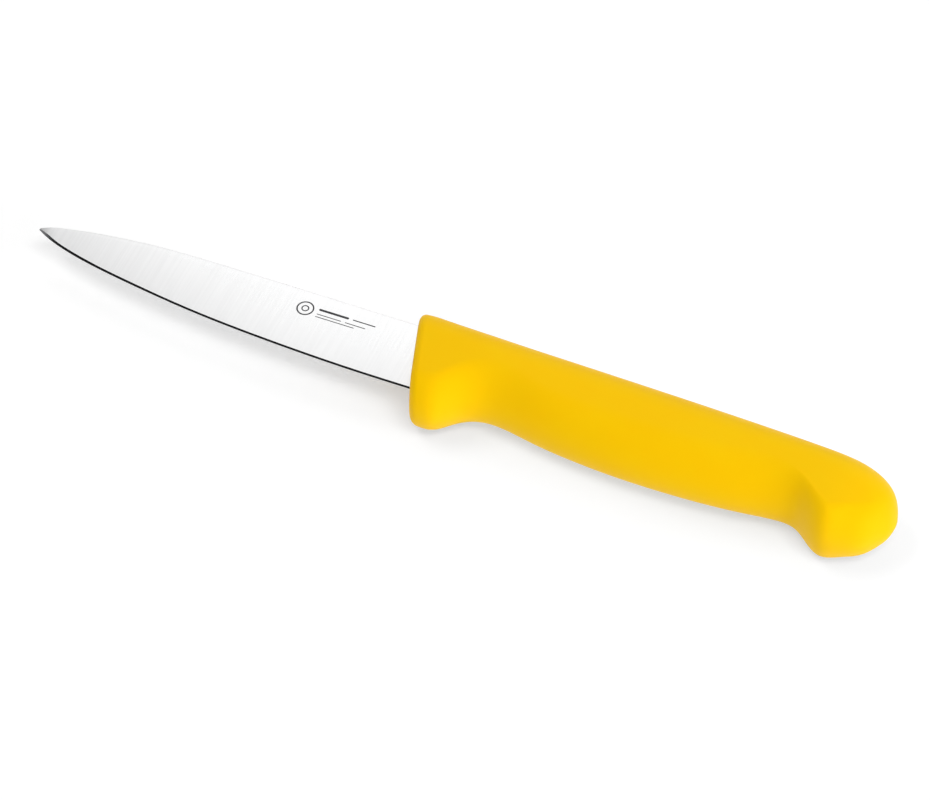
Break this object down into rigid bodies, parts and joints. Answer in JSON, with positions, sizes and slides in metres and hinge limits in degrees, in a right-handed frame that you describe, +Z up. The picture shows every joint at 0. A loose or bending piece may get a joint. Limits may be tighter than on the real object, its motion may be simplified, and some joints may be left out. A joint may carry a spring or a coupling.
{
  "type": "boning knife",
  "caption": "Short spear-pointed boning knife: flat-ground steel blade with a sharpening bevel and hidden tang, in a moulded handle with finger guard, palm swell and hooked butt.",
  "frame": {"origin": "on the surface that the knife lies on, under the middle of the whole knife's box", "axes": "+X from the blade tip towards the butt, +Y from the cutting edge towards the spine, +Z up through the flanks, with the knife lying on its side"},
  "size_m": [0.2194, 0.0286, 0.0181],
  "materials": {
    "blade_steel": "satin flat grind with fine lines from spine to edge, darker honed bevel, low carbon martensitic stainless steel",
    "grip_plastic": "fine spark-eroded mould texture, yellow polypropylene",
    "core_plastic": "uncoloured polypropylene, as moulded, never seen"
  },
  "bodies": {
    "root": {"blade": "blade_steel", "handle_core": "core_plastic", "handle_grip": "grip_plastic"}
  },
  "joints": []
}
